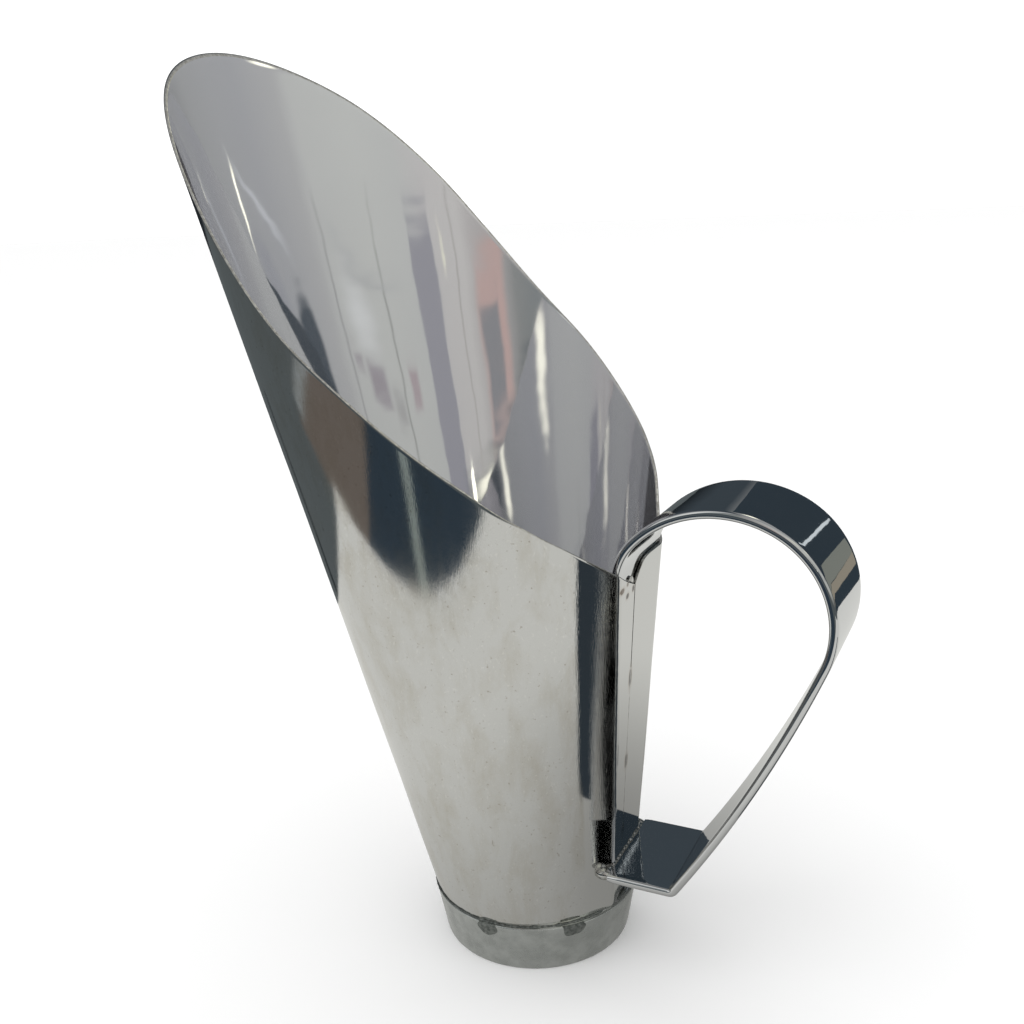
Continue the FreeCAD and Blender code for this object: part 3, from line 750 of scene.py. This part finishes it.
# What stands round the pitcher in the studio: a colour, then corners in millimetres. Only the
# metal mirrors these; the camera sees the plain floor.
surroundings = {
    "whiteTable": ("#dcdcd8", [
        (-358, -169, 0), (104, -294, 0), (760, -470, 0), (860, 900, 0), (-190, 620, 0)]),
    "stoneFloor": ("#5a6062", [
        (-3000, -3000, -2), (3000, -3000, -2), (3000, 3000, -2), (-3000, 3000, -2)]),
    "woodBench": ("#6f6761", [
        (-500, -500, -1), (-215, -560, -1), (-235, -190, -1), (-520, -120, -1)]),
    "paleLeg": ("#8f9496", [
        (-610, -430, -1), (-500, -430, -1), (-500, -150, -1), (-570, -150, -1)]),
    "darkCloth": ("#333f4a", [
        (-235, -560, -0.9), (140, -600, -0.9), (140, -280, -0.9), (-235, -190, -0.9)]),
    "paleSeam": ("#8e9896", [
        (-110, -420, -0.8), (-80, -420, -0.8), (-62, -240, -0.8), (-86, -240, -0.8)]),
    "floorJoint": ("#2c3032", [
        (-820, 370, -1), (-800, 395, -1), (-290, 115, -1), (-300, 90, -1)]),
    "darkTray": ("#333b42", [
        (114, -34, 0.4), (420, -60, 0.4), (420, 50, 0.4), (114, 30, 0.4)]),
    "paleFrame": ("#dde5e9", [
        (176, 308, 206), (184, 308, 206), (204, 308, 262), (196, 308, 262)]),
    "windowGlass": ("#83867f", [
        (190, 314, 116), (430, 300, 116), (430, 300, 166), (330, 306, 173), (262, 310, 160),
        (222, 312, 171), (198, 314, 152)]),
    "windowSill": ("#989183", [
        (184, 314, 88), (430, 300, 84), (430, 300, 112), (330, 306, 118), (240, 311, 113),
        (192, 314, 117)]),
    "backScreen": ("#333d45", [
        (10, 330, 50), (560, 300, 50), (560, 300, 330), (10, 330, 330)]),
}
# the pitcher's own soft shadow on the table
tableShade = {"middle": (60, 30, 0), "near": 12, "far": 218, "dark": 0.42}


def tableMaterial(colour):
    material, tree = newMaterial("tableLaminateWhite")
    place = addNode(tree, "ShaderNodeTexCoord")
    middle = [c * mm for c in tableShade["middle"]]
    offset = addNode(tree, "ShaderNodeVectorMath", {"operation": "DISTANCE"},
                     {0: place.outputs["Object"], 1: middle})
    shade = addNode(tree, "ShaderNodeMapRange", {"interpolation_type": "SMOOTHSTEP"},
                    {"Value": offset.outputs["Value"], "From Min": tableShade["near"] * mm,
                     "From Max": tableShade["far"] * mm, "To Min": tableShade["dark"]})
    lit = addNode(tree, "ShaderNodeMix", {"data_type": "RGBA", "blend_type": "MULTIPLY"},
                  {"Factor": 1.0, "A": hexColour(colour), "B": shade.outputs[0]})
    glow = addNode(tree, "ShaderNodeEmission",
                   inputs={"Color": lit.outputs["Result"], "Strength": 1.0})
    addNode(tree, "ShaderNodeOutputMaterial", inputs={"Surface": glow.outputs[0]})
    return material


for name, (colour, corners) in surroundings.items():
    isTable = name == "whiteTable"
    surface = tableMaterial(colour) if isTable else glowMaterial(name + "Glow", colour)
    mirrored = makeObject(name, corners, [tuple(range(len(corners)))], [surface])
    for kind in ("camera", "diffuse", "shadow", "transmission", "volume_scatter"):
        setattr(mirrored, f"visible_{kind}", False)

# The room above the table, by direction: degrees round from the handle's side, and the colour
# of its wall there.
roomRound = [
    (-180, "#8a8c8e"), (-152, "#b4b6b5"), (-136, "#f4f5f2"), (-116, "#f2f3f0"),
    (-111, "#8b9191"), (-97, "#969996"), (-91, "#b0afac"), (-72, "#c9c6c2"), (-66, "#d8d6d1"),
    (-50, "#d4d2ce"), (-36, "#cfd1cc"), (-16, "#d2d4ce"), (14, "#cdcfca"), (22, "#bdbebc"),
    (45, "#b1b3b4"), (62, "#b1b3b3"), (84, "#acaead"), (97, "#9c9e9e"), (104, "#424b52"),
    (146, "#485057"), (180, "#8a8c8e"),
]
# doors, frames and shelves: degrees round and up, half width, half height, softness, colour
roomSquares = [
    (-43.5, 18, 6.5, 8.5, 0.1, "#9d9da3"), (-81, 17.2, 8.6, 4.4, 0.3, "#cbb0a8"),
    (-95, 3.4, 44, 9, 0.1, "#404c55"), (-78.8, 16.2, 5.6, 2.8, 0.25, "#8f9092"),
    (-17, 18, 0.6, 7.5, 0.5, "#a3a5a0"), (14.5, 18, 0.7, 6.5, 0.5, "#a9aaa8"),
    (-25, 17.8, 2.6, 0.9, 0.5, "#b0a2a4"), (-0.5, 17.4, 5.5, 1.0, 0.4, "#a09a9e"),
    (-12, 16.6, 3.4, 0.6, 0.6, "#aeaeab"), (10, 18.2, 2.2, 0.7, 0.6, "#aaa6a8"),
    (-8, 23.4, 14.0, 0.5, 0.9, "#bcbebb"), (-62, 20, 0.5, 8.0, 0.7, "#b9b6b1"),
    (52, 19.7, 9.0, 0.35, 0.8, "#cfd2d4"),
]
# rounder dark and pale things, in the same order
roomRounded = [
    (38, 13.5, 7.5, 4.2, 0.22, "#414b53"), (56, 15.5, 7.0, 1.4, 0.6, "#9fa1a5"),
    (1, 21, 7.0, 1.6, 0.8, "#dcdedb"),
]
# lamps and windows: the same, with a brightness in place of the colour
roomLamps = [
    (31, 36, 5.6, 2.4, 0.7, 2.0), (93, 29, 3.2, 3.6, 0.6, 1.9), (-55, 24, 0.7, 1.2, 0.8, 0.95),
    (-54, 12, 1.2, 1.0, 0.3, 4.0), (-64, 11.6, 9.0, 0.5, 0.7, 1.6),
    (64.3, 17.4, 0.7, 2.2, 0.4, 2.0), (-22, 49, 22.0, 4.0, 0.3, 0.9),
]
lampTint = (1.0, 0.98, 0.8)
whiteSky = 1.28  # what lights everything but the mirrors
# degrees up from the level, and the walls' brightness there
roomUpward = [(-2, 0.25, 0.25), (8, 0.85, 0.85), (38, 1.0, 1.0), (48, 0.92, 0.94), (90, 0.62, 0.65)]


def buildWorld():
    world = bpy.data.worlds.new("studio")
    bpy.context.scene.world = world
    world.use_nodes = True
    tree = world.node_tree
    tree.nodes.clear()
    place = addNode(tree, "ShaderNodeTexCoord")
    axes = addNode(tree, "ShaderNodeSeparateXYZ", inputs={"Vector": place.outputs["Generated"]})
    turn = addNode(tree, "ShaderNodeMath", {"operation": "ARCTAN2"},
                   {0: axes.outputs["Y"], 1: axes.outputs["X"]})
    around = addNode(tree, "ShaderNodeMath", {"operation": "DEGREES"}, {0: turn.outputs[0]})
    tilt = addNode(tree, "ShaderNodeMath", {"operation": "ARCSINE"}, {0: axes.outputs["Z"]})
    upward = addNode(tree, "ShaderNodeMath", {"operation": "DEGREES"}, {0: tilt.outputs[0]})
    share = addNode(tree, "ShaderNodeMapRange",
                    inputs={"Value": around.outputs[0], "From Min": -180.0, "From Max": 180.0})
    walls = addNode(tree, "ShaderNodeValToRGB", inputs={"Fac": share.outputs[0]},
                    stops=[((a + 180) / 360, hexColour(c)) for a, c in roomRound])
    height = addNode(tree, "ShaderNodeMapRange",
                     inputs={"Value": upward.outputs[0], "From Min": -10.0, "From Max": 90.0})
    ceiling = addNode(tree, "ShaderNodeValToRGB", inputs={"Fac": height.outputs[0]},
                      stops=[((up + 10) / 100, (grey, grey, blue))
                             for up, grey, blue in roomUpward])
    room = addNode(tree, "ShaderNodeMix", {"data_type": "RGBA", "blend_type": "MULTIPLY"},
                   {"Factor": 1.0, "A": walls.outputs["Color"], "B": ceiling.outputs["Color"]})
    colour = room.outputs["Result"]

    def window(middle, level, halfWidth, halfHeight, soft, square):
        # 1 inside a patch of the room, with a soft edge
        across = addNode(tree, "ShaderNodeMath", {"operation": "MULTIPLY_ADD"},
                         {0: around.outputs[0], 1: 1 / halfWidth, 2: -middle / halfWidth})
        along = addNode(tree, "ShaderNodeMath", {"operation": "MULTIPLY_ADD"},
                        {0: upward.outputs[0], 1: 1 / halfHeight, 2: -level / halfHeight})
        if square:
            sides = [addNode(tree, "ShaderNodeMath", {"operation": "ABSOLUTE"}, {0: way.outputs[0]})
                     for way in (across, along)]
            far = addNode(tree, "ShaderNodeMath", {"operation": "MAXIMUM"},
                          {0: sides[0].outputs[0], 1: sides[1].outputs[0]})
        else:
            offset = addNode(tree, "ShaderNodeCombineXYZ",
                             inputs={"X": across.outputs[0], "Y": along.outputs[0]})
            far = addNode(tree, "ShaderNodeVectorMath", {"operation": "LENGTH"},
                          {0: offset.outputs[0]})
        reach = far.outputs[0] if square else far.outputs["Value"]
        return addNode(tree, "ShaderNodeMapRange", {"interpolation_type": "SMOOTHSTEP"},
                       {"Value": reach, "From Min": 1 + soft, "From Max": 1 - soft}).outputs[0]

    for square, patches in ((True, roomSquares), (False, roomRounded), (False, roomLamps)):
        for *where, look in patches:
            isLamp = not isinstance(look, str)
            paint = [look * c for c in lampTint] + [1] if isLamp else hexColour(look)
            patch = addNode(tree, "ShaderNodeMix", {"data_type": "RGBA"},
                            {"Factor": window(*where, square), "A": colour, "B": paint})
            colour = patch.outputs["Result"]
    seen = addNode(tree, "ShaderNodeLightPath")
    mirrored = addNode(tree, "ShaderNodeBackground", inputs={"Color": colour})
    white = addNode(tree, "ShaderNodeBackground",
                    inputs={"Color": (1, 1, 1, 1), "Strength": whiteSky})
    pick = addNode(tree, "ShaderNodeMixShader",
                   inputs={0: seen.outputs["Is Glossy Ray"], 1: white.outputs[0],
                           2: mirrored.outputs[0]})
    addNode(tree, "ShaderNodeOutputWorld", inputs={"Surface": pick.outputs[0]})


softbox = {"size": 1.4, "watts": 4.0, "spot": (-0.5, -0.7, 1.7), "aim": (0, 0, 0.1)}  # metres


def buildSoftbox():
    light = bpy.data.lights.new("softbox", "AREA")
    light.size = softbox["size"]
    light.energy = softbox["watts"]
    lamp = bpy.data.objects.new("softbox", light)
    lamp.location = softbox["spot"]
    aim = Vector(softbox["aim"]) - lamp.location
    lamp.rotation_euler = aim.to_track_quat("-Z", "Y").to_euler()
    lamp.visible_glossy = False
    bpy.context.scene.collection.objects.link(lamp)


buildWorld()
buildSoftbox()
bpy.context.scene.view_settings.view_transform = "Standard"

# where the camera stands in mm, and how it is turned in degrees
cameraPlace = {"spot": (157.28, -322.69, 251.90), "around": 26.547, "down": 15.254,
               "roll": -2.392, "lens": 38.85}


def buildCamera():
    around, down, roll = (math.radians(cameraPlace[k]) for k in ("around", "down", "roll"))
    back = Vector((math.sin(around) * math.cos(down), -math.cos(around) * math.cos(down),
                   math.sin(down)))
    right = Vector((math.cos(around), math.sin(around), 0))
    up = back.cross(right)
    rolledRight = right * math.cos(roll) + up * math.sin(roll)
    rolledUp = up * math.cos(roll) - right * math.sin(roll)
    data = bpy.data.cameras.new("camera")
    data.lens = cameraPlace["lens"]
    data.sensor_width = 36
    camera = bpy.data.objects.new("camera", data)
    bpy.context.scene.collection.objects.link(camera)
    matrix = camera.matrix_world.to_3x3()
    for i in range(3):
        matrix[i] = (rolledRight[i], rolledUp[i], back[i])
    camera.matrix_world = matrix.to_4x4()
    camera.location = [c * mm for c in cameraPlace["spot"]]
    bpy.context.scene.camera = camera


buildCamera()
print("stage made")
